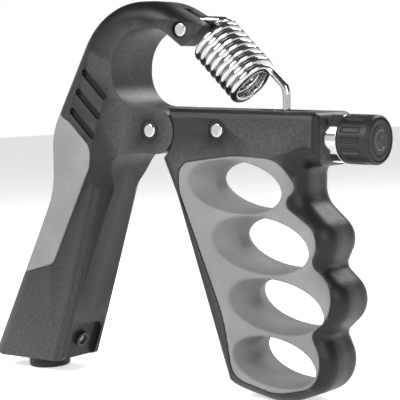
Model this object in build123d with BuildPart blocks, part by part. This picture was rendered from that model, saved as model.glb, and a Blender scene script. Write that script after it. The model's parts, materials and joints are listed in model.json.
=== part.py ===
from build123d import *
import os
from math import acos, atan2, cos, degrees, radians, sin

# Hand grip strengthener, millimetres.
# It stands on the foot plug of the palm handle and the round end of the finger handle.
# Outlines lie in the plane of the handles, as (along, up, corner radius) rows measured
# from the pivot axis. "Along" is the direction of the adjuster bar, which leans by
# bar_tilt. Y runs through the thickness: the front is -Y and the shells part at Y = 0.

# ---- driving dimensions ----
bar_tilt = 2.8              # lean of the adjuster bar when the grip stands, degrees
pivot_x = -0.62             # pivot axis in the part's frame
pivot_z = 107.75
half_thick = 13.0           # half of the handles' thickness
palm_rim = 8.0              # rounding of the palm handle
finger_rim = 8.0            # rounding of the finger handle's outer side
inner_rim = 3.0             # rounding of its inner side and of the bar
wall = 2.4
pad_thick = 2.0
foot_face_z = 5.2           # underside of the palm handle
pin_r = 2.5                 # rivet shanks
pin_head_r = 2.9
pin_head_high = 0.9
fit = 0.05                  # radial running clearance
skin = 0.03                 # how far the rounded slab lies inside the plain one
knuckle_half = 6.8          # half width of the finger handle's knuckle
knuckle_r = 9.0
knuckle_gap = 0.6           # clearance beside and around the knuckle
recess_r = 13.2             # round clearance in the cheeks, about the pivot
hook_pin_at = (14.5, 41.2)
hook_pin_seat = 10.2
bar_rivet_at = (35.3, 1.2)
bar_rivet_r = 2.0
bar_top = 9.3
bar_end = 82.8
screw_v = -0.8              # height of the leadscrew axis
screw_r = 2.5
screw_start = 38.6
channel_half_high = 5.5     # channel for the nut inside the bar
channel_half_wide = 6.2
channel_start = 30.0
channel_end = 79.0
nut_u = 57.0                # place of the slider nut along the bar
nut_long = 10.0
nut_pin_v = 6.5
nut_pin_r = 1.25
slot_start = 45.0           # slot in the bar's top for the spring's lower hook
slot_end = 72.0
slot_half_wide = 4.8
collar_r = 9.2
collar_end = 88.6
knob_r = 9.45
knob_start = 88.9
knob_end = 102.8
wire_r = 1.65
hook_wire_r = 1.6
hook_gap = 0.15             # play between the spring's hooks and their pins
coil_mean_r = 9.4
coil_turns = 8
coil_pitch = 3.44
coil_start = (25.1, 36.5)   # middle of the first turn
coil_angle = -41.6          # slope of the coil's axis, degrees
plug_r = 9.4
plug_at = -73.6             # place of the foot plug along the palm handle's end

os.makedirs("parts", exist_ok=True)

lean = radians(bar_tilt)
along = Vector(cos(lean), 0, -sin(lean))
upward = Vector(sin(lean), 0, cos(lean))
across = Vector(0, 1, 0)
sides = (-1, 1)             # front, rear


def place(u, v, y=0.0):
    """The point u along the bar's direction, v above the pivot, at depth y."""
    return Vector(pivot_x, y, pivot_z) + along * u + upward * v


def side_plane(y=0.0, u=0.0, v=0.0):
    """Plane of the handles at depth y; its normal points to the front."""
    return Plane(origin=place(u, v, y), x_dir=along, z_dir=(0, -1, 0))


def bar_plane(u, v=screw_v):
    """Plane square to the bar; its x is to the rear, its normal to the knob."""
    return Plane(origin=place(u, v), x_dir=across, z_dir=along)


def pair(point):
    """The two in-plane coordinates of a local point."""
    return point.X, point.Y


def foot_line(u):
    """Height, from the pivot, of the palm handle's level underside."""
    return (foot_face_z - pivot_z + u * sin(lean)) / cos(lean)


def outline_face(rows, inset=0.0):
    """Face inside a closed outline of straight runs with rounded corners."""
    with BuildLine() as outline:
        FilletPolyline(*[row[:2] for row in rows], radius=[row[2] for row in rows], close=True)
    make_face(outline.edges())
    if inset:
        offset(amount=-inset, mode=Mode.REPLACE)


def slab(rows, half, side, rim=0.0, inset=0.0):
    """Slab of an outline from Y = 0 to one side, with its outer rim rounded."""
    with BuildPart() as piece:
        with BuildSketch(side_plane()):
            outline_face(rows, inset)
        extrude(amount=-side * half)
        if rim:
            fillet(piece.faces().sort_by(Axis.Y)[-1 if side > 0 else 0].edges(), rim)
    return piece.part


def prism(rows, low, high, side):
    """Prism of an outline between two depths on one side of Y = 0."""
    with BuildPart() as piece:
        with BuildSketch(side_plane(side * low)):
            outline_face(rows)
        extrude(amount=-side * (high - low))
    return piece.part


def save(piece, name):
    """Label a finished piece and write it to its own file."""
    piece.part.label = name
    export_step(piece.part, f"parts/{name}.step")


# ---- outlines of the palm handle ----
foot_corner = (-54.0, foot_line(-54.0))
under_lug = (-19.6, -9.6)
palm_rows = [
    (24.6, 42.6, 1.5),                  # tip of the hook arm, top
    (2.8, 53.4, 34),
    (-30.2, 53.4, 35),                  # shoulder
    (-61.4, -2.2, 28),                  # heel of the palm
    (-61.0, -28.6, 36),
    (-101.0, foot_line(-101.0), 6),     # foot of the handle
    (*foot_corner, 3),
    (*under_lug, 10),
    (12.5, -9.6, 9.1),                  # round lug end
    (12.5, 9.2, 9.1),
    (-21.2, 9.2, 14.5),                 # thumb loop
    (-21.2, 42.0, 17),
    (5.5, 42.0, 12),
    (15.4, 34.2, 1),                    # tip of the hook arm, underside
]
palm_round_rows = [                     # the outer sides alone, which carry the soft rim
    (60.0, 25.1, 0),
    (2.8, 53.4, 34),
    (-30.2, 53.4, 35),
    (-61.4, -2.2, 28),
    (-61.0, -28.6, 36),
    (-116.2, foot_line(-101.0) - 30, 0),
    (-60.0, foot_line(-54.0) - 30, 0),
    (-23.0, -19.0, 12),
    (60.0, -19.0, 0),
]
handle_cavity_rows = [
    (-30.0, 3.0, 4),
    (-44.0, 5.0, 4),
    (-52.5, -6.0, 5),
    (-52.5, -30.0, 8),
    (-86.0, -97.0, 3),
    (-60.0, -96.0, 3),
    (-29.0, -16.0, 5),
]
arm_cavity_rows = [
    (0.0, 48.8, 1),
    (-28.0, 48.8, 24),
    (-40.5, 27.0, 2),
    (-36.0, 24.0, 2),
    (-25.4, 24.0, 2),
    (-25.2, 45.0, 18),
    (0.0, 45.0, 1),
]
pad_rows = [
    (-130.0, 44.0, 0),
    (-46.5, 2.2, 10),
    (-34.0, -8.5, 7),
    (-34.6, -17.0, 6),
    (-57.5, -61.5, 6),
    (-130.0, -83.0, 0),
]
tip_slot_rows = [(7.8, 34.0, 0), (30.0, 20.0, 0), (30.0, 60.0, 0), (12.0, 60.0, 0), (7.8, 46.0, 0)]
groove_ends = [
    ((-38.3, 24.6), (-24.4, 12.6)),
    ((-42.0, 16.2), (-28.0, 4.2)),
    ((-45.6, 7.8), (-31.6, -4.2)),
]
palm_screws_at = [(-26.5, -7.0), (-34.5, -34.0), (-50.0, -70.0), (-74.0, -84.0)]

# ---- outlines of the finger handle ----
finger_rows = [
    (1.0, bar_top, 0),
    (bar_end, bar_top, 3),
    (bar_end, -11.4, 2),
    (74.4, -11.4, 4),
    (74.4, -24.4, 9),                   # first finger hollow
    (90.0, -37.2, 10),
    (84.2, -50.1, 2.5),                 # second hollow
    (99.0, -62.4, 11),
    (84.9, -76.4, 2.5),                 # third hollow
    (94.1, -94.1, 13.5),
    (66.0, -106.04, 30),                # round end that the grip stands on
    (41.7, -101.0, 11),
    (13.5, -26.0, 40),
    (5.6, -10.0, 2),
    (1.0, -8.0, 0),
]
finger_round_rows = [                   # outer and lower sides, which carry the large rim
    (-60.0, 60.0, 0),
    (130.0, 60.0, 0),
    (130.0, -11.4, 0),
    (74.4, -11.4, 4),
    (74.4, -24.4, 9),
    (90.0, -37.2, 10),
    (84.2, -50.1, 2.5),
    (99.0, -62.4, 11),
    (84.9, -76.4, 2.5),
    (94.1, -94.1, 13.5),
    (66.0, -106.04, 30),
    (-60.0, -87.7, 0),
]
inner_round_rows = [                    # bar top and inner side, which carry the small rim
    (-20.0, bar_top, 0),
    (bar_end, bar_top, 3),
    (bar_end, -11.4, 0),
    (130.0, -11.4, 0),
    (130.0, -140.0, 0),
    (56.4, -140.0, 0),
    (13.5, -26.0, 40),
    (5.6, -10.0, 0),
    (-20.0, -10.0, 0),
]
insert_rows = [
    (15.0, -12.6, 6.5),
    (44.0, -8.2, 40),
    (66.0, -8.9, 14),
    (72.8, -20.2, 4.5),
    (67.0, -26.0, 3.5),
    (85.0, -37.4, 9),
    (80.0, -48.6, 4),
    (94.0, -62.0, 11),
    (80.4, -75.5, 3.5),
    (89.8, -94.6, 12),
    (64.0, -101.5, 24),
    (43.3, -98.0, 9),
    (38.5, -74.0, 60),
    (15.2, -24.0, 15),
]
# finger holes: middle, half length, half height, extra flare towards the inner side
finger_holes = [
    (46.4, -20.8, 18.8, 9.1, 8.0),
    (58.8, -43.0, 19.2, 9.7, 7.5),
    (65.0, -66.4, 19.8, 9.1, 4.5),
    (63.0, -88.6, 18.6, 8.5, 1.2),
]
hole_tilt = -4.0
hole_flare = 1.4
throat_half = 3.0
frame_screw_at = (20.5, 1.5)

# ---- small fasteners ----
shell_screw_r = 1.5
shell_screw_head_r = 2.7
shell_screw_head_high = 2.0
post_r = 3.8

# ---- palm handle: shells and pad ----


def palm_block(side):
    """Solid half of the palm handle with its soft outer rim."""
    whole = slab(palm_rows, half_thick, side)
    outer = slab(palm_round_rows, half_thick, side, palm_rim, skin)
    with BuildPart() as block:
        add(whole)
        add(outer, mode=Mode.INTERSECT)
        # the hook arm narrows towards its tip
        with BuildSketch(Plane(origin=place(0, 20), x_dir=along, z_dir=upward)):
            with BuildLine():
                Spline((-4, half_thick * side), (8, 12.3 * side), (18, 9.8 * side), (27, 6.3 * side))
                Polyline((27, 6.3 * side), (60, 5.8 * side), (60, 30 * side), (-4, 30 * side),
                         (-4, half_thick * side))
            make_face()
        extrude(amount=60, mode=Mode.SUBTRACT)
    return block.part


palm_blocks = {side: palm_block(side) for side in sides}
palm_cores = {side: slab(palm_round_rows, half_thick - pad_thick, side, palm_rim - pad_thick, pad_thick)
              for side in sides}
pad_reach = prism(pad_rows, -20, 20, 1)

with BuildPart() as palm_pad:
    add(palm_blocks[-1])
    add(palm_blocks[1])
    add(pad_reach, mode=Mode.INTERSECT)
    add(palm_cores[-1], mode=Mode.SUBTRACT)
    add(palm_cores[1], mode=Mode.SUBTRACT)
save(palm_pad, "palm_pad")

plug_point = place(plug_at, foot_line(plug_at))
inner_side = (place(*under_lug) - place(*foot_corner)).normalized()
corner_plane = Plane(
    origin=place(*foot_corner) + inner_side * 8.5,
    x_dir=across,
    z_dir=across.cross(inner_side),
)


def palm_shell(side):
    """One shell of the palm handle."""
    with BuildPart() as shell:
        add(palm_blocks[side])
        add(palm_pad.part, mode=Mode.SUBTRACT)
        # hollow handle and arm, with posts for the screws
        for rows, depth in ((handle_cavity_rows, half_thick - wall), (arm_cavity_rows, 8.0)):
            with BuildSketch(side_plane()):
                outline_face(rows)
                with Locations(*palm_screws_at):
                    Circle(post_r, mode=Mode.SUBTRACT)
            extrude(amount=-side * depth, mode=Mode.SUBTRACT)
        # slot for the knuckle between the lugs
        with BuildSketch(side_plane()):
            Circle(knuckle_r + knuckle_gap)
            with Locations((10, 0)):
                Rectangle(20, 40)
        extrude(amount=-side * (knuckle_half + knuckle_gap), mode=Mode.SUBTRACT)
        # slot in the arm's tip for the hooked end of the spring
        with BuildSketch(side_plane()):
            outline_face(tip_slot_rows)
        extrude(amount=-side * 2.2, mode=Mode.SUBTRACT)
        # bores for the pivot pin and the spring's pin, with rings round the heads
        with BuildSketch(side_plane()):
            with Locations((0, 0), hook_pin_at):
                Circle(pin_r)
        extrude(amount=-side * half_thick, mode=Mode.SUBTRACT)
        with BuildSketch(side_plane(side * (half_thick - 0.4))):
            Circle(pin_head_r + 1.8)
        extrude(amount=-side, mode=Mode.SUBTRACT)
        with BuildSketch(side_plane(side * hook_pin_seat)):
            with Locations(hook_pin_at):
                Circle(pin_head_r + 0.5)
        extrude(amount=-side * 4, mode=Mode.SUBTRACT)
        # three slanted grooves on the shoulder
        for start, end in groove_ends:
            run = Vector(*end) - Vector(*start)
            middle = Vector(*start) + run * 0.5
            groove_plane = side_plane(side * (half_thick - 1.6), middle.X, middle.Y)
            with BuildSketch(groove_plane):
                SlotOverall(run.length, 3.4, rotation=degrees(atan2(run.Y, run.X)))
            extrude(amount=-side * 4, mode=Mode.SUBTRACT)
        # bore for the plug's spigot, square to the floor
        with BuildSketch(Plane(origin=plug_point)):
            Circle(plug_r - 2.0)
        extrude(amount=11, mode=Mode.SUBTRACT)
        # recessed corner at the foot, with a round boss for the plug's screw
        with BuildSketch(corner_plane.offset(-2.4)):
            with Locations((0, -6)):
                RectangleRounded(19, 30, 5)
            Circle(3.7, mode=Mode.SUBTRACT)
        extrude(amount=8, mode=Mode.SUBTRACT)
        with BuildSketch(corner_plane.offset(-0.7)):
            Circle(3.8)
        extrude(amount=5, mode=Mode.SUBTRACT)
        with BuildSketch(corner_plane.offset(-3.4)):
            Circle(2.2)
        extrude(amount=5, mode=Mode.SUBTRACT)
        with BuildSketch(corner_plane):
            Circle(shell_screw_r)
        extrude(amount=-16, mode=Mode.SUBTRACT)
        # shell screws enter from the rear
        with BuildSketch(side_plane()):
            with Locations(*palm_screws_at):
                Circle(shell_screw_r)
        extrude(amount=-side * (half_thick if side > 0 else half_thick - 4), mode=Mode.SUBTRACT)
        if side > 0:
            with BuildSketch(side_plane(half_thick - 4.0)):
                with Locations(*palm_screws_at):
                    Circle(shell_screw_head_r + 0.3)
            extrude(amount=-6, mode=Mode.SUBTRACT)
    return shell


palm_shell_front = palm_shell(-1)
save(palm_shell_front, "palm_shell_front")
palm_shell_rear = palm_shell(1)
save(palm_shell_rear, "palm_shell_rear")

with BuildPart() as palm_screws:
    with BuildSketch(side_plane(half_thick - 4.0)):
        with Locations(*palm_screws_at):
            Circle(shell_screw_head_r)
    extrude(amount=-shell_screw_head_high)
    with BuildSketch(side_plane(half_thick - 4.0)):
        with Locations(*palm_screws_at):
            Circle(shell_screw_r)
    extrude(amount=14)
save(palm_screws, "palm_screws")

# ---- foot plug and its screw ----
with BuildPart() as end_plug:
    with BuildSketch(Plane(origin=(plug_point.X, 0, 0))):
        Circle(plug_r)
    extrude(amount=foot_face_z)
    fillet(end_plug.edges().sort_by(Axis.Z)[0], 1.2)
    with BuildSketch(Plane(origin=plug_point)):
        Circle(plug_r - 2.0)
    extrude(amount=11)
    with BuildSketch(corner_plane):
        Circle(shell_screw_r)
    extrude(amount=-30, mode=Mode.SUBTRACT)
save(end_plug, "end_plug")

with BuildPart() as plug_screw:
    with BuildSketch(corner_plane.offset(-3.4)):
        Circle(2.1)
    extrude(amount=1.4)
    with BuildSketch(corner_plane.offset(-3.4)):
        Circle(shell_screw_r)
    extrude(amount=-12)
save(plug_screw, "plug_screw")

# ---- rivets and pivot ----


def rivet(at, seat, shank_r, head_r):
    """Round pin through both shells with a domed head at each side."""
    with BuildPart() as pin:
        with BuildSketch(side_plane(seat, *at)):
            Circle(shank_r)
        extrude(amount=2 * seat)
        for side in sides:
            with BuildSketch(side_plane(side * seat, *at)):
                Circle(head_r)
            extrude(amount=-side * pin_head_high)
        ends = pin.faces().sort_by(Axis.Y)
        fillet(ends[0].edges() + ends[-1].edges(), pin_head_high * 0.85)
    return pin


pivot_pin = rivet((0, 0), half_thick - 0.4, pin_r, pin_head_r)
save(pivot_pin, "pivot_pin")
hook_pin = rivet(hook_pin_at, hook_pin_seat, pin_r, pin_head_r)
save(hook_pin, "hook_pin")
bar_rivet = rivet(bar_rivet_at, half_thick - 0.4, bar_rivet_r, pin_head_r)
save(bar_rivet, "bar_rivet")

with BuildPart() as pivot_washers:
    for side in sides:
        with BuildSketch(side_plane(side * (knuckle_half + fit))):
            Circle(6.0)
            Circle(pin_r, mode=Mode.SUBTRACT)
        extrude(amount=-side * (knuckle_gap - 2 * fit))
save(pivot_washers, "pivot_washers")

with BuildPart() as pivot_bushing:
    with BuildSketch(side_plane(knuckle_half)):
        Circle(4.0)
        Circle(pin_r + fit, mode=Mode.SUBTRACT)
    extrude(amount=2 * knuckle_half)
save(pivot_bushing, "pivot_bushing")

# ---- finger handle: frame halves and insert ----


def finger_block(side):
    """Solid half of the finger handle with its rounded rims."""
    whole = slab(finger_rows, half_thick, side)
    outer = slab(finger_round_rows, half_thick, side, finger_rim)
    inner = slab(inner_round_rows, half_thick, side, inner_rim)
    with BuildPart() as block:
        add(whole)
        add(outer, mode=Mode.INTERSECT)
        add(inner, mode=Mode.INTERSECT)
    return block.part


finger_blocks = {side: finger_block(side) for side in sides}
insert_reach = prism(insert_rows, -20, 20, 1)


def finger_frame(side):
    """One half of the finger handle's frame, with the knuckle and the bar."""
    with BuildPart() as frame:
        add(finger_blocks[side])
        with BuildSketch(side_plane()):
            Circle(knuckle_r)
        extrude(amount=-side * knuckle_half)
        with BuildSketch(side_plane(side * knuckle_half)):
            Circle(recess_r)
        extrude(amount=-side * 10, mode=Mode.SUBTRACT)
        add(insert_reach, mode=Mode.SUBTRACT)
        with BuildSketch(side_plane()):
            Circle(4.0)
        extrude(amount=-side * 10, mode=Mode.SUBTRACT)
        # channel for the nut and slot for the spring's hook
        with BuildSketch(bar_plane(channel_start)):
            Rectangle(2 * channel_half_wide, 2 * channel_half_high)
        extrude(amount=channel_end - channel_start, mode=Mode.SUBTRACT)
        with BuildSketch(bar_plane(slot_start)):
            with Locations((0, 8)):
                Rectangle(2 * slot_half_wide, 12)
        extrude(amount=slot_end - slot_start, mode=Mode.SUBTRACT)
        with BuildSketch(bar_plane(channel_end)):
            Circle(7.5)
        extrude(amount=10, mode=Mode.SUBTRACT)
        # bores for the bar rivet and the frame screw
        with BuildSketch(side_plane()):
            with Locations(bar_rivet_at):
                Circle(bar_rivet_r)
        extrude(amount=-side * half_thick, mode=Mode.SUBTRACT)
        with BuildSketch(side_plane(side * (half_thick - 0.4))):
            with Locations(bar_rivet_at):
                Circle(pin_head_r + 1.6)
        extrude(amount=-side, mode=Mode.SUBTRACT)
        with BuildSketch(side_plane()):
            with Locations(frame_screw_at):
                Circle(shell_screw_r)
        extrude(amount=-side * (half_thick if side > 0 else half_thick - 4), mode=Mode.SUBTRACT)
        if side > 0:
            with BuildSketch(side_plane(half_thick - 4.0)):
                with Locations(frame_screw_at):
                    Circle(shell_screw_head_r + 0.3)
            extrude(amount=-6, mode=Mode.SUBTRACT)
    return frame


finger_frame_front = finger_frame(-1)
save(finger_frame_front, "finger_frame_front")
finger_frame_rear = finger_frame(1)
save(finger_frame_rear, "finger_frame_rear")

with BuildPart() as frame_screw:
    with BuildSketch(side_plane(half_thick - 4.0)):
        with Locations(frame_screw_at):
            Circle(shell_screw_head_r)
    extrude(amount=-shell_screw_head_high)
    with BuildSketch(side_plane(half_thick - 4.0)):
        with Locations(frame_screw_at):
            Circle(shell_screw_r)
    extrude(amount=14)
save(frame_screw, "frame_screw")


def finger_hole(u, v, half_long, half_high, flare):
    """Cutter for one finger hole: an oval throat that opens towards both faces."""
    mouth_long = half_long + (flare + hole_flare) / 2
    with BuildPart() as cutter:
        with BuildSketch(side_plane(half_thick + 1, u, v)):
            Ellipse(half_long, half_high, rotation=hole_tilt)
        extrude(amount=2 * half_thick + 2)
        for side in sides:
            with BuildSketch(side_plane(side * throat_half, u, v)):
                Ellipse(half_long, half_high, rotation=hole_tilt)
            with BuildSketch(side_plane(side * (half_thick + 0.2), u, v)):
                with Locations(((hole_flare - flare) / 2, 0)):
                    Ellipse(mouth_long, half_high + hole_flare, rotation=hole_tilt)
            loft()
    return cutter.part


hole_cutters = [finger_hole(*row) for row in finger_holes]

with BuildPart() as finger_insert:
    for side in sides:
        add(finger_blocks[side])
    add(insert_reach, mode=Mode.INTERSECT)
    for cutter in hole_cutters:
        add(cutter, mode=Mode.SUBTRACT)
save(finger_insert, "finger_insert")

# ---- adjuster inside the bar ----
with BuildPart() as leadscrew:
    with BuildSketch(bar_plane(screw_start)):
        Circle(screw_r)
    extrude(amount=99.0 - screw_start)
    chamfer(leadscrew.edges().filter_by(GeomType.CIRCLE), 0.5)
save(leadscrew, "leadscrew")

with BuildPart() as inner_bearing:
    with BuildSketch(bar_plane(channel_start)):
        Rectangle(2 * channel_half_wide, 2 * channel_half_high)
    extrude(amount=slot_start - 1 - channel_start)
    with BuildSketch(bar_plane(screw_start - 0.2)):
        Circle(screw_r + fit)
    extrude(amount=20, mode=Mode.SUBTRACT)
    with BuildSketch(side_plane(half_thick)):
        with Locations(bar_rivet_at):
            Circle(bar_rivet_r)
    extrude(amount=2 * half_thick, mode=Mode.SUBTRACT)
save(inner_bearing, "inner_bearing")

with BuildPart() as slider_nut:
    with BuildSketch(bar_plane(nut_u - nut_long / 2)):
        Rectangle(2 * channel_half_wide - 0.6, 2 * channel_half_high - 0.6)
    extrude(amount=nut_long)
    # two ears that carry the pin in the slot
    with BuildSketch(bar_plane(nut_u - 3.2)):
        for side in sides:
            with Locations((side * 3.2, 6.4)):
                Rectangle(2.2, 6.4)
    extrude(amount=6.4)
    with BuildSketch(bar_plane(nut_u - nut_long)):
        Circle(screw_r + fit)
    extrude(amount=2 * nut_long, mode=Mode.SUBTRACT)
    # relief under the hooked wire
    with BuildSketch(side_plane(2.1)):
        with Locations((nut_u, nut_pin_v)):
            Circle(5.2)
    extrude(amount=4.2, mode=Mode.SUBTRACT)
    with BuildSketch(side_plane(10)):
        with Locations((nut_u, nut_pin_v)):
            Circle(nut_pin_r)
    extrude(amount=20, mode=Mode.SUBTRACT)
save(slider_nut, "slider_nut")

with BuildPart() as nut_pin:
    with BuildSketch(side_plane(4.3)):
        with Locations((nut_u, nut_pin_v)):
            Circle(nut_pin_r)
    extrude(amount=8.6)
save(nut_pin, "nut_pin")

with BuildPart() as chrome_collar:
    with BuildSketch(bar_plane(channel_end)):
        Circle(7.5)
    extrude(amount=bar_end - channel_end)
    with BuildSketch(bar_plane(bar_end)):
        Circle(collar_r)
    extrude(amount=collar_end - bar_end)
    fillet(chrome_collar.faces().sort_by(Axis.X)[-1].edges(), 0.4)
    with BuildSketch(bar_plane(channel_end - 1)):
        Circle(screw_r + fit)
    extrude(amount=20, mode=Mode.SUBTRACT)
save(chrome_collar, "chrome_collar")


def ring(u, outer_r, inner_r, thick):
    """Flat ring on the leadscrew."""
    with BuildPart() as piece:
        with BuildSketch(bar_plane(u)):
            Circle(outer_r)
            Circle(inner_r, mode=Mode.SUBTRACT)
        extrude(amount=thick)
    return piece


retaining_clip = ring(channel_end - 1.0, 4.6, screw_r, 0.7)
save(retaining_clip, "retaining_clip")
thrust_washer = ring(collar_end + fit, 6.5, screw_r + fit, knob_start - collar_end - 2 * fit)
save(thrust_washer, "thrust_washer")

with BuildPart() as knob:
    with BuildSketch(bar_plane(knob_start)):
        Circle(knob_r)
    extrude(amount=knob_end - knob_start)
    fillet(knob.faces().sort_by(Axis.X)[-1].edges(), 1.0)
    chamfer(knob.faces().sort_by(Axis.X)[0].edges(), 0.4)
    with BuildSketch(bar_plane(knob_end - 2.4)):
        Circle(8.3)
    extrude(amount=5, mode=Mode.SUBTRACT)
    with BuildSketch(bar_plane(knob_start - 1)):
        Circle(screw_r)
    extrude(amount=12, mode=Mode.SUBTRACT)
    # shallow grip grooves round the barrel
    with BuildSketch(bar_plane(knob_start + 1.6)):
        with PolarLocations(knob_r + 0.9, 12):
            Circle(1.7)
    extrude(amount=8.0, mode=Mode.SUBTRACT)
save(knob, "knob")

with BuildPart() as knob_cap:
    with BuildSketch(bar_plane(knob_end - 2.3)):
        Circle(8.1)
    extrude(amount=2.0)
    with BuildSketch(bar_plane(knob_end - 0.3)):
        Circle(5.8)
    extrude(amount=0.3)
save(knob_cap, "knob_cap")

# ---- tension spring ----
coil_axis = along * cos(radians(coil_angle)) + upward * sin(radians(coil_angle))
coil_up = upward * cos(radians(coil_angle)) - along * sin(radians(coil_angle))
coil_length = coil_turns * coil_pitch
coil_origin = place(*coil_start) - coil_axis * (coil_pitch / 2)
coil_plane = Plane(origin=coil_origin, x_dir=coil_up, z_dir=coil_axis)
upper_end = side_plane().to_local_coords(coil_origin + coil_up * coil_mean_r)
lower_end = side_plane().to_local_coords(coil_origin + coil_up * coil_mean_r + coil_axis * coil_length)
axis_run = side_plane().to_local_coords(place(0, 0) + coil_axis)
upper_loop_r = pin_r + hook_gap + hook_wire_r
lower_loop_r = nut_pin_r + hook_gap + hook_wire_r

# the upper hook leaves the coil straight and passes over its pin
pin_to_coil = upper_end - Vector(*hook_pin_at)
touch_angle = degrees(atan2(pin_to_coil.Y, pin_to_coil.X) + acos(upper_loop_r / pin_to_coil.length))
touch_point = Vector(*hook_pin_at) + Vector(upper_loop_r, 0).rotate(Axis.Z, touch_angle)
upper_tail = upper_end + (upper_end - touch_point).normalized() * 1.2
# the lower hook runs on along the coil, bends down beside its pin and passes under it
lower_tail = lower_end - axis_run * 1.2
hook_side_u = nut_u + lower_loop_r
hook_corner = lower_end + axis_run * ((hook_side_u - lower_end.X) / axis_run.X)

with BuildPart() as coil:
    with BuildLine() as coil_line:
        Helix(coil_pitch, coil_length, coil_mean_r)
    with BuildSketch(Plane(origin=coil_line.line @ 0, z_dir=coil_line.line % 0)):
        Circle(wire_r)
    sweep(path=coil_line.line, is_frenet=True)

with BuildPart() as tension_spring:
    with Locations(coil_plane.location):
        add(coil.part)
    with BuildLine(side_plane()) as upper_hook:
        CenterArc(hook_pin_at, upper_loop_r, touch_angle, 255)
        Line(pair(touch_point), pair(upper_tail))
    with BuildSketch(Plane(origin=upper_hook.line @ 0, z_dir=upper_hook.line % 0)):
        Circle(hook_wire_r)
    sweep(path=upper_hook.line)
    with BuildLine(side_plane()) as lower_hook:
        FilletPolyline(pair(lower_tail), pair(hook_corner), (hook_side_u, nut_pin_v), radius=5.5)
        CenterArc((nut_u, nut_pin_v), lower_loop_r, 0, -200)
    with BuildSketch(Plane(origin=lower_hook.line @ 0, z_dir=lower_hook.line % 0)):
        Circle(hook_wire_r)
    sweep(path=lower_hook.line)
save(tension_spring, "tension_spring")
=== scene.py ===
import bpy
import json
from math import acos, atan2, cos, pi, radians, sin
from mathutils import Matrix, Vector


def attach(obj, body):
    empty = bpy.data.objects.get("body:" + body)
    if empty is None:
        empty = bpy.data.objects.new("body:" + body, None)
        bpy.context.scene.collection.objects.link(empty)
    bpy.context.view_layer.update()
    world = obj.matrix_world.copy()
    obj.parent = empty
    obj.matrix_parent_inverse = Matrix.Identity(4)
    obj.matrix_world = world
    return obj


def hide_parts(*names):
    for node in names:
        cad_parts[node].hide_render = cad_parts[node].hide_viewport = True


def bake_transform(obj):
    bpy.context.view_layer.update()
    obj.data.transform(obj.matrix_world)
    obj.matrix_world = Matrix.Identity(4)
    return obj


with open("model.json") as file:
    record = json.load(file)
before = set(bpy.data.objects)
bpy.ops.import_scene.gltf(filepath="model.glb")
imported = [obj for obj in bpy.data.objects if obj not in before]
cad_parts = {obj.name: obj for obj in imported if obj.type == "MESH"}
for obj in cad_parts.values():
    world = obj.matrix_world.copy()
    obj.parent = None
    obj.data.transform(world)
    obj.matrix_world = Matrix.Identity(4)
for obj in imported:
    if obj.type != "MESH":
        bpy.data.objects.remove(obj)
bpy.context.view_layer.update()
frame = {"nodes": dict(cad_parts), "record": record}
nodes = frame["nodes"]
MM = 0.001                  # metres in a millimetre

# ---- the part's own frame: the bar's direction leans, and the pivot is the local origin ----
LEAN = radians(2.8)
PIVOT = Vector((-0.62, 0.0, 107.75))
ALONG = Vector((cos(LEAN), 0.0, -sin(LEAN)))
UPWARD = Vector((sin(LEAN), 0.0, cos(LEAN)))
ACROSS = Vector((0.0, 1.0, 0.0))


def place(u, v, y=0.0):
    """World point, in metres, of a local point in millimetres."""
    return (PIVOT + ALONG * u + UPWARD * v + ACROSS * y) * MM


# ---- materials ----
def new_material(name):
    """Material with a Principled shader and object coordinates."""
    mat = bpy.data.materials.new(name)
    mat.use_nodes = True
    tree = mat.node_tree
    shader = tree.nodes["Principled BSDF"]
    shader.inputs["Specular IOR Level"].default_value = 0.5
    coords = tree.nodes.new("ShaderNodeTexCoord")
    return mat, tree, shader, coords


def noise(tree, coords, scale, detail=3.0, roughness=0.55, stretch=None):
    """Noise texture over object coordinates, optionally stretched by an axis scale."""
    tex = tree.nodes.new("ShaderNodeTexNoise")
    tex.inputs["Scale"].default_value = scale
    tex.inputs["Detail"].default_value = detail
    tex.inputs["Roughness"].default_value = roughness
    source = coords.outputs["Object"]
    if stretch:
        mapping = tree.nodes.new("ShaderNodeMapping")
        mapping.inputs["Scale"].default_value = stretch
        tree.links.new(source, mapping.inputs["Vector"])
        source = mapping.outputs["Vector"]
    tree.links.new(source, tex.inputs["Vector"])
    return tex


def ramp(tree, source, low, high, start=0.35, end=0.65):
    """Colour ramp between two colours."""
    node = tree.nodes.new("ShaderNodeValToRGB")
    node.color_ramp.elements[0].position = start
    node.color_ramp.elements[0].color = (*low, 1.0)
    node.color_ramp.elements[1].position = end
    node.color_ramp.elements[1].color = (*high, 1.0)
    tree.links.new(source, node.inputs["Fac"])
    return node


def spread(tree, source, low, high):
    """Map a 0..1 value to a range."""
    node = tree.nodes.new("ShaderNodeMapRange")
    node.inputs["To Min"].default_value = low
    node.inputs["To Max"].default_value = high
    tree.links.new(source, node.inputs["Value"])
    return node


def add_bump(tree, shader, height, strength, distance, round_edge=0.0):
    """Bump from a height, over edges that are rounded in the shading."""
    bump = tree.nodes.new("ShaderNodeBump")
    bump.inputs["Strength"].default_value = strength
    bump.inputs["Distance"].default_value = distance
    tree.links.new(height, bump.inputs["Height"])
    if round_edge:
        bevel = tree.nodes.new("ShaderNodeBevel")
        bevel.samples = 4
        bevel.inputs["Radius"].default_value = round_edge
        tree.links.new(bevel.outputs["Normal"], bump.inputs["Normal"])
    tree.links.new(bump.outputs["Normal"], shader.inputs["Normal"])
    return bump


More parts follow.
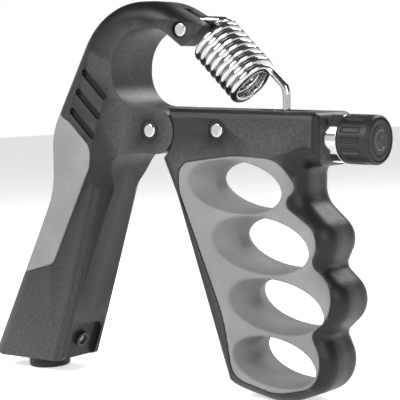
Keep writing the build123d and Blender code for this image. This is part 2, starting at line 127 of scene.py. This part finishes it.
def plastic(name, dark, light, rough, grain, grain_depth, round_edge, edge_wear_and_highlight=0.0, gloss=0.30):
    """Moulded plastic: slight colour drift, spark-eroded grain, soft edges, and a lighter colour painted on
    convex edges that stands for both rubbed wear and the edges' highlight.
    """
    mat, tree, shader, coords = new_material(name)
    shader.inputs["Specular IOR Level"].default_value = gloss
    drift = noise(tree, coords, 55.0, 4.0)
    colour = ramp(tree, drift.outputs["Fac"], dark, light)
    shade = colour.outputs["Color"]
    # painted highlight and wear: convex edges, found by pointiness and broken up by fine noise, are mixed
    # towards a lighter grey that stands in for the rims' highlight as well as rubbed wear
    if edge_wear_and_highlight:
        geometry = tree.nodes.new("ShaderNodeNewGeometry")
        edge = ramp(tree, geometry.outputs["Pointiness"], (0, 0, 0), (1, 1, 1), 0.53, 0.62)
        scuff_and_highlight = noise(tree, coords, 700.0, 5.0)
        product = tree.nodes.new("ShaderNodeMath")
        product.operation = "MULTIPLY"
        tree.links.new(edge.outputs["Color"], product.inputs[0])
        tree.links.new(scuff_and_highlight.outputs["Fac"], product.inputs[1])
        mix = tree.nodes.new("ShaderNodeMix")
        mix.data_type = "RGBA"
        mix.inputs["B"].default_value = (edge_wear_and_highlight, edge_wear_and_highlight, edge_wear_and_highlight, 1.0)
        tree.links.new(product.outputs["Value"], mix.inputs["Factor"])
        tree.links.new(shade, mix.inputs["A"])
        shade = mix.outputs["Result"]
    tree.links.new(shade, shader.inputs["Base Color"])
    smear = noise(tree, coords, 120.0, 6.0, 0.7)
    tree.links.new(spread(tree, smear.outputs["Fac"], rough - 0.08, rough + 0.08).outputs["Result"],
                   shader.inputs["Roughness"])
    pits = noise(tree, coords, grain, 4.0, 0.7)
    add_bump(tree, shader, pits.outputs["Fac"], 0.35, grain_depth, round_edge)
    return mat


def metal(name, dark, light, low_rough, high_rough, brush=None, round_edge=0.0002, grain=900.0):
    """Plated or machined metal with fine marks."""
    mat, tree, shader, coords = new_material(name)
    shader.inputs["Metallic"].default_value = 1.0
    drift = noise(tree, coords, 160.0, 5.0, 0.6)
    tree.links.new(ramp(tree, drift.outputs["Fac"], dark, light).outputs["Color"],
                   shader.inputs["Base Color"])
    marks = noise(tree, coords, grain, 4.0, 0.65, brush)
    tree.links.new(spread(tree, marks.outputs["Fac"], low_rough, high_rough).outputs["Result"],
                   shader.inputs["Roughness"])
    add_bump(tree, shader, marks.outputs["Fac"], 0.12, 0.00003, round_edge)
    return mat


# the eighth number of each call is the lighter grey painted on convex edges, part wear and part painted
# highlight; 0 or left out means none
shell_black = plastic("shell_black", (0.006, 0.006, 0.0065), (0.011, 0.011, 0.012), 0.40, 2600.0,
                      0.00012, 0.0006, 0.09)
knob_black = plastic("knob_black", (0.010, 0.010, 0.011), (0.018, 0.018, 0.019), 0.44, 2200.0,
                     0.00012, 0.0004, 0.10)
plug_black = plastic("plug_black", (0.008, 0.008, 0.009), (0.014, 0.014, 0.015), 0.5, 1800.0,
                     0.00010, 0.0004, 0.05)
grip_grey = plastic("grip_grey", (0.195, 0.195, 0.20), (0.24, 0.24, 0.245), 0.56, 3200.0,
                    0.00006, 0.0008, 0.0)
bearing_white = plastic("bearing_white", (0.48, 0.47, 0.43), (0.56, 0.55, 0.51), 0.5, 1500.0,
                        0.00005, 0.0003, 0.0)
arrow_grey = plastic("arrow_grey", (0.09, 0.09, 0.09), (0.12, 0.12, 0.12), 0.55, 2000.0, 0.00005, 0.0002)
chrome_bright = metal("chrome_bright", (0.50, 0.50, 0.505), (0.64, 0.64, 0.645), 0.06, 0.15)
chrome_satin = metal("chrome_satin", (0.52, 0.52, 0.53), (0.66, 0.66, 0.67), 0.16, 0.30)
steel_zinc = metal("steel_zinc", (0.46, 0.47, 0.49), (0.60, 0.61, 0.62), 0.25, 0.42,
                   (1.0, 6.0, 1.0))
brass_turned = metal("brass_turned", (0.60, 0.43, 0.18), (0.76, 0.58, 0.29), 0.20, 0.36,
                     (1.0, 8.0, 1.0))

FINISH = {
    "shell_plastic": shell_black,
    "soft_grip": grip_grey,
    "plug_plastic": plug_black,
    "knob_plastic": knob_black,
    "bearing_plastic": bearing_white,
    "spring_chrome": chrome_bright,
    "rivet_chrome": chrome_satin,
    "collar_chrome": chrome_bright,
    "screw_steel": steel_zinc,
    "washer_steel": steel_zinc,
    "bushing_brass": brass_turned,
    "nut_brass": brass_turned,
}
slot_of = {row["node"]: row["material_slot"] for row in frame["record"]["subparts"]}


def paint(obj, mat):
    """Put one material on every slot of an object."""
    if not obj.material_slots:
        obj.data.materials.append(mat)
    for one in obj.material_slots:
        one.material = mat


for node_name, node in nodes.items():
    paint(node, FINISH[slot_of[node_name]])


# ---- mesh helpers ----
def add_mesh(name, verts, faces, mat, smooth=True):
    """New mesh object from points in metres."""
    mesh = bpy.data.meshes.new(name)
    mesh.from_pydata([tuple(v) for v in verts], [], faces)
    mesh.validate()
    mesh.update()
    if smooth:
        for face in mesh.polygons:
            face.use_smooth = True
    obj = bpy.data.objects.new(name, mesh)
    bpy.context.scene.collection.objects.link(obj)
    paint(obj, mat)
    return obj


def apply_modifiers(obj):
    """Bake an object's modifiers into its mesh."""
    graph = bpy.context.evaluated_depsgraph_get()
    baked = bpy.data.meshes.new_from_object(obj.evaluated_get(graph))
    obj.modifiers.clear()
    obj.data = baked
    for face in baked.polygons:
        face.use_smooth = True


def softened(name, node_name, voxel, rounds, mat):
    """Copy of a CAD solid with its edges softened as a flexible moulding's are."""
    obj = bpy.data.objects.new(name, nodes[node_name].data.copy())
    bpy.context.scene.collection.objects.link(obj)
    remesh = obj.modifiers.new("remesh", "REMESH")
    remesh.mode = "VOXEL"
    remesh.voxel_size = voxel
    smooth = obj.modifiers.new("smooth", "SMOOTH")
    smooth.factor = 0.5
    smooth.iterations = rounds
    apply_modifiers(obj)
    paint(obj, mat)
    return obj


def tube(name, path, radius, sides, mat):
    """Round wire along a path of points, closed by small domes."""
    tangents = []
    for i in range(len(path)):
        a = path[max(i - 1, 0)]
        b = path[min(i + 1, len(path) - 1)]
        tangents.append((b - a).normalized())
    normal = tangents[0].orthogonal().normalized()
    verts = []
    rings = []

    def ring(centre, tangent, r):
        side = tangent.cross(normal).normalized()
        rings.append(len(verts))
        for k in range(sides):
            angle = 2 * pi * k / sides
            verts.append(centre + (normal * cos(angle) + side * sin(angle)) * r)

    def dome(centre, tangent, rising):
        steps = [(0.25, 0.97), (0.6, 0.8), (0.88, 0.48)]
        sign = 1 if rising else -1
        for ahead, wide in (steps if rising else reversed(steps)):
            ring(centre + tangent * (radius * ahead * sign), tangent, radius * wide)

    dome(path[0], tangents[0], False)
    for i, point in enumerate(path):
        normal = (normal - tangents[i] * normal.dot(tangents[i])).normalized()
        ring(point, tangents[i], radius)
    dome(path[-1], tangents[-1], True)
    faces = []
    for a, b in zip(rings, rings[1:]):
        for k in range(sides):
            n = (k + 1) % sides
            faces.append((a + k, a + n, b + n, b + k))
    faces.append(tuple(reversed(range(rings[0], rings[0] + sides))))
    faces.append(tuple(range(rings[-1], rings[-1] + sides)))
    return add_mesh(name, verts, faces, mat)


# ---- tension spring: hook over the arm's pin, close coil, hook under the nut's pin ----
HOOK_PIN = (14.5, 41.2)
NUT_PIN = (57.0, 6.5)
WIRE_R = 1.62
WIRE_SIDES = 16
COIL_R = 9.4
TURNS = 8
PITCH = 3.44
COIL_ANGLE = radians(-41.6)
COIL_START = (25.1, 36.5)
COIL_POINTS = 300
UPPER_LOOP_R = 4.25
UPPER_LOOP_SWEEP = 255      # degrees round the arm's pin
LOWER_LOOP_R = 3.0
LOWER_LOOP_SWEEP = 205      # degrees round the nut's pin
JOIN_TURN = 0.10            # share of a turn given up to each bend into a hook
BEND_RUN = 5.0              # straight length in which such a bend lies
BEND_PULL = 3.4             # how far its handles reach
CORNER_RUN = 3.2            # length before and after the lower hook's corner


def flat(x, y):
    """Local point in the spring's own plane."""
    return Vector((x, y, 0.0))


axis_2d = flat(cos(COIL_ANGLE), sin(COIL_ANGLE))
up_2d = flat(-sin(COIL_ANGLE), cos(COIL_ANGLE))
coil_base = flat(*COIL_START) - axis_2d * (PITCH / 2)


def helix_point(turn):
    """Point of the wire after so many turns, with the depth as its third number."""
    angle = 2 * pi * turn
    return (coil_base + axis_2d * (PITCH * turn) + up_2d * (COIL_R * cos(angle))
            + Vector((0, 0, COIL_R * sin(angle))))


def bezier(a, b, c, d, count):
    """Points of a cubic curve, without its first."""
    out = []
    for i in range(1, count + 1):
        t = i / count
        s = 1 - t
        out.append(a * s ** 3 + b * (3 * s * s * t) + c * (3 * s * t * t) + d * t ** 3)
    return out


def arc(centre, radius, start, sweep, count):
    """Points of an arc, angles in degrees."""
    return [flat(centre[0] + radius * cos(radians(start + sweep * i / count)),
                 centre[1] + radius * sin(radians(start + sweep * i / count)))
            for i in range(count + 1)]


def helix_direction(turn):
    """Unit direction of the wire after so many turns."""
    step = 0.01
    return (helix_point(turn + step) - helix_point(turn - step)).normalized()


upper_end = helix_point(0)
to_coil = upper_end - flat(*HOOK_PIN)
touch = (atan2(to_coil.y, to_coil.x) + acos(UPPER_LOOP_R / to_coil.length)) * 180 / pi
wire = arc(HOOK_PIN, UPPER_LOOP_R, touch + UPPER_LOOP_SWEEP, -UPPER_LOOP_SWEEP, 30)
run = (upper_end - wire[-1]).normalized()
bend_start = upper_end - run * BEND_RUN
first = helix_point(JOIN_TURN)
first_dir = helix_direction(JOIN_TURN)
wire += bezier(bend_start, bend_start + run * BEND_PULL, first - first_dir * BEND_PULL, first, 12)
wire += [helix_point(JOIN_TURN + (TURNS - 2 * JOIN_TURN) * i / COIL_POINTS)
         for i in range(1, COIL_POINTS + 1)]
last = wire[-1]
last_dir = helix_direction(TURNS - JOIN_TURN)
lower_end = helix_point(TURNS)
side_u = NUT_PIN[0] + LOWER_LOOP_R
corner = lower_end + axis_2d * ((side_u - lower_end.x) / axis_2d.x)
leave = lower_end + axis_2d * BEND_RUN
wire += bezier(last, last + last_dir * BEND_PULL, leave - axis_2d * BEND_PULL, leave, 12)
bend = corner - axis_2d * CORNER_RUN
wire += bezier(bend, bend + axis_2d * 1.9, corner - flat(0, 1.3), corner - flat(0, CORNER_RUN), 10)
wire += arc(NUT_PIN, LOWER_LOOP_R, 0, -LOWER_LOOP_SWEEP, 24)
spring = tube("tension_spring_wire", [place(p.x, p.y, p.z) for p in wire], WIRE_R * MM, WIRE_SIDES,
              chrome_bright)
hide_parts("tension_spring")
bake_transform(spring)

# ---- soft grey mouldings ----
insert = softened("finger_insert_soft", "finger_insert", 0.7 * MM, 6, grip_grey)
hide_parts("finger_insert")
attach(insert, "finger")
pad = softened("palm_pad_soft", "palm_pad", 0.55 * MM, 3, grip_grey)
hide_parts("palm_pad")
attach(pad, "palm")

# ---- adjuster knob: grip slots round the barrel, rounded shoulder, cap with a ring ----
SCREW_V = -0.8              # height of the leadscrew's axis above the pivot
SLOTS = 14
SLOT_DEPTH = 0.75
BARREL_R = 9.45
SHOULDER_R = 1.5            # rounding of the barrel's outer edge
BARREL_STEPS = 336
CAP_STEPS = 96


def lathe(name, profile, steps, mat, shape=None):
    """Turned piece about the leadscrew's axis from (along, radius) rows; shape trims the radius."""
    verts = []
    for u, r in profile:
        for k in range(steps):
            angle = 2 * pi * k / steps
            trimmed = r - (shape(u, angle) if shape else 0.0)
            verts.append(place(u, SCREW_V + trimmed * sin(angle), trimmed * cos(angle)))
    faces = []
    for row in range(len(profile) - 1):
        for k in range(steps):
            n = (k + 1) % steps
            a, b = row * steps, (row + 1) * steps
            faces.append((a + k, b + k, b + n, a + n))
    return add_mesh(name, verts, faces, mat)


def ease(x, low, high):
    """Smooth step from 0 to 1."""
    t = min(max((x - low) / (high - low), 0.0), 1.0)
    return t * t * (3 - 2 * t)


def slot_depth(u, angle):
    """Depth of the barrel's grip slots, in millimetres."""
    lengthwise = ease(u, 90.2, 90.9) * (1 - ease(u, 97.9, 98.7))
    wave = (1 + cos(SLOTS * angle)) / 2
    return SLOT_DEPTH * lengthwise * ease(wave, 0.30, 0.62)


barrel = [(100.4, 2.6), (100.4, 8.2), (102.3, 8.25), (102.62, 8.4), (102.8, 8.62)]
barrel += [(102.8 - SHOULDER_R * (1 - cos(radians(a))), BARREL_R - SHOULDER_R + SHOULDER_R * sin(radians(a)))
           for a in range(30, 91, 10)]
barrel += [(101.3 - 0.2 * i, BARREL_R) for i in range(1, 60)]
barrel += [(89.2, 9.42), (89.0, 9.25), (88.9, 9.0), (88.9, 2.55)]
knob = lathe("knob_barrel", barrel, BARREL_STEPS, knob_black, slot_depth)
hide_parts("knob")
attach(knob, "adjuster")

cap_rows = [(100.5, 8.05), (102.2, 8.05), (102.42, 7.95), (102.5, 7.7), (102.5, 6.15), (102.42, 6.02),
            (102.2, 5.95), (102.12, 5.85), (102.2, 5.75), (102.5, 5.66), (102.62, 5.5), (102.66, 5.2),
            (102.7, 3.6), (102.71, 1.6), (102.72, 0.01)]
cap = lathe("knob_cap_disc", cap_rows, CAP_STEPS, knob_black)
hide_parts("knob_cap")
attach(cap, "adjuster")


def cap_point(radius, degrees_round, u):
    """Point on the cap's face."""
    angle = radians(degrees_round)
    return place(u, SCREW_V + radius * sin(angle), radius * cos(angle))


# a plain curved arrow for the turning direction: a band of quads, then a head of one triangle
ARROW_STEPS = 12
ARROW_FROM = 60             # degrees round the cap
ARROW_SWEEP = 230
HEAD_BACK = 292
HEAD_TIP = 322
arrow_verts = []
for height in (102.60, 102.79):
    for step in range(ARROW_STEPS + 1):
        turn_angle = ARROW_FROM + ARROW_SWEEP * step / ARROW_STEPS
        arrow_verts += [cap_point(3.45, turn_angle, height), cap_point(4.05, turn_angle, height)]
    arrow_verts += [cap_point(2.75, HEAD_BACK, height), cap_point(4.75, HEAD_BACK, height),
                    cap_point(3.75, HEAD_TIP, height)]
half = len(arrow_verts) // 2
head = 2 * (ARROW_STEPS + 1)
arrow_faces = []
for step in range(ARROW_STEPS):
    a = half + 2 * step
    arrow_faces.append((a, a + 1, a + 3, a + 2))
    for low, high in ((2 * step, 2 * step + 2), (2 * step + 3, 2 * step + 1)):
        arrow_faces.append((low, high, high + half, low + half))
arrow_faces.append((half + head, half + head + 1, half + head + 2))
for low, high in ((head, head + 1), (head + 1, head + 2), (head + 2, head)):
    arrow_faces.append((low, high, high + half, low + half))
arrow = add_mesh("turning_arrow", arrow_verts, arrow_faces, arrow_grey, False)
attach(arrow, "adjuster")

# ---- floor, light and camera ----
floor_mat, floor_tree, floor_shader, floor_coords = new_material("floor_pale")
floor_noise = noise(floor_tree, floor_coords, 3.0, 2.0)
floor_tree.links.new(ramp(floor_tree, floor_noise.outputs["Fac"], (0.83, 0.83, 0.83),
                          (0.86, 0.86, 0.86)).outputs["Color"], floor_shader.inputs["Base Color"])
floor_shader.inputs["Roughness"].default_value = 0.75
floor_shader.inputs["Emission Color"].default_value = (1.0, 1.0, 1.0, 1.0)
floor_shader.inputs["Emission Strength"].default_value = 0.60
FLOOR_HALF = 4
FLOOR_Z = -0.0003           # just under what stands on it
floor_corners = [(-FLOOR_HALF, -FLOOR_HALF, FLOOR_Z), (FLOOR_HALF, -FLOOR_HALF, FLOOR_Z),
                 (FLOOR_HALF, FLOOR_HALF, FLOOR_Z), (-FLOOR_HALF, FLOOR_HALF, FLOOR_Z)]
floor = add_mesh("floor", floor_corners, [(0, 1, 2, 3)], floor_mat, False)

world = bpy.data.worlds.new("studio")
bpy.context.scene.world = world
world.use_nodes = True
bpy.context.scene.view_settings.view_transform = "Standard"
background = world.node_tree.nodes["Background"]
sky_coords = world.node_tree.nodes.new("ShaderNodeTexCoord")
sky_split = world.node_tree.nodes.new("ShaderNodeSeparateXYZ")
world.node_tree.links.new(sky_coords.outputs["Generated"], sky_split.inputs["Vector"])
sky = ramp(world.node_tree, sky_split.outputs["Z"], (1.0, 1.0, 1.0), (0.09, 0.09, 0.095), 0.16, 0.36)
world.node_tree.links.new(sky.outputs["Color"], background.inputs["Color"])
background.inputs["Strength"].default_value = 1.0


def area_light(name, location, target, size, power):
    """Square area light aimed at a point."""
    data = bpy.data.lights.new(name, "AREA")
    data.size = size
    data.energy = power
    obj = bpy.data.objects.new(name, data)
    obj.location = location
    obj.rotation_euler = (Vector(target) - Vector(location)).to_track_quat("-Z", "Y").to_euler()
    bpy.context.scene.collection.objects.link(obj)


middle = (0.0, 0.0, 0.08)
area_light("key", (-0.35, -0.75, 0.75), middle, 0.45, 9.0)
area_light("fill", (0.75, -0.45, 0.45), middle, 0.5, 3.5)
area_light("rim", (0.1, 0.7, 0.8), middle, 0.5, 7.0)

AZIMUTH = radians(39)
ELEVATION = radians(6)
CAMERA_AT = (354.319, 27.590, -417.389)     # along, up and across, in millimetres from the pivot
look = (ALONG * (-sin(AZIMUTH) * cos(ELEVATION)) + ACROSS * (cos(AZIMUTH) * cos(ELEVATION))
        - UPWARD * sin(ELEVATION))
right = ALONG * cos(AZIMUTH) + ACROSS * sin(AZIMUTH)
camera_up = right.cross(look)
camera_data = bpy.data.cameras.new("camera")
camera_data.lens = 117.0
camera_data.sensor_width = 36.0
camera_data.clip_start = 0.01
camera = bpy.data.objects.new("camera", camera_data)
turn = Matrix((right, camera_up, -look)).transposed().to_4x4()
camera.matrix_world = Matrix.Translation(place(*CAMERA_AT)) @ turn
bpy.context.scene.collection.objects.link(camera)
bpy.context.scene.camera = camera
